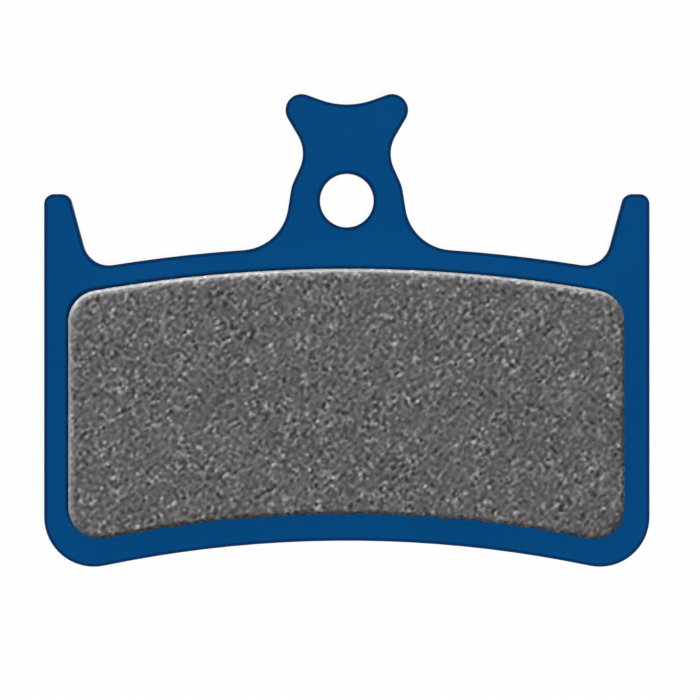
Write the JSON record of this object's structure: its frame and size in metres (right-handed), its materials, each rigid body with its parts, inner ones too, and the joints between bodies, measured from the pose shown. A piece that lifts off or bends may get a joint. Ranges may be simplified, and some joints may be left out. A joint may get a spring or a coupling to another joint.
{
  "type": "bicycle disc brake pad",
  "caption": "Bicycle disc brake pad: a blue painted steel backing plate with horns and a pull tab with a pin hole, carrying an arched block of grey friction compound.",
  "frame": {"origin": "on the pin hole's axis, at the backing plate's back face", "axes": "+X across the pad, +Y away from the rotor's axis through the pull tab, +Z out of the friction face towards the rotor; the pad lies on its back face"},
  "size_m": [0.0396, 0.0308, 0.004],
  "materials": {
    "plate_paint": "satin",
    "friction_compound": "matte"
  },
  "bodies": {
    "root": {"backing_plate": "plate_paint", "friction_pad": "friction_compound"}
  },
  "joints": []
}
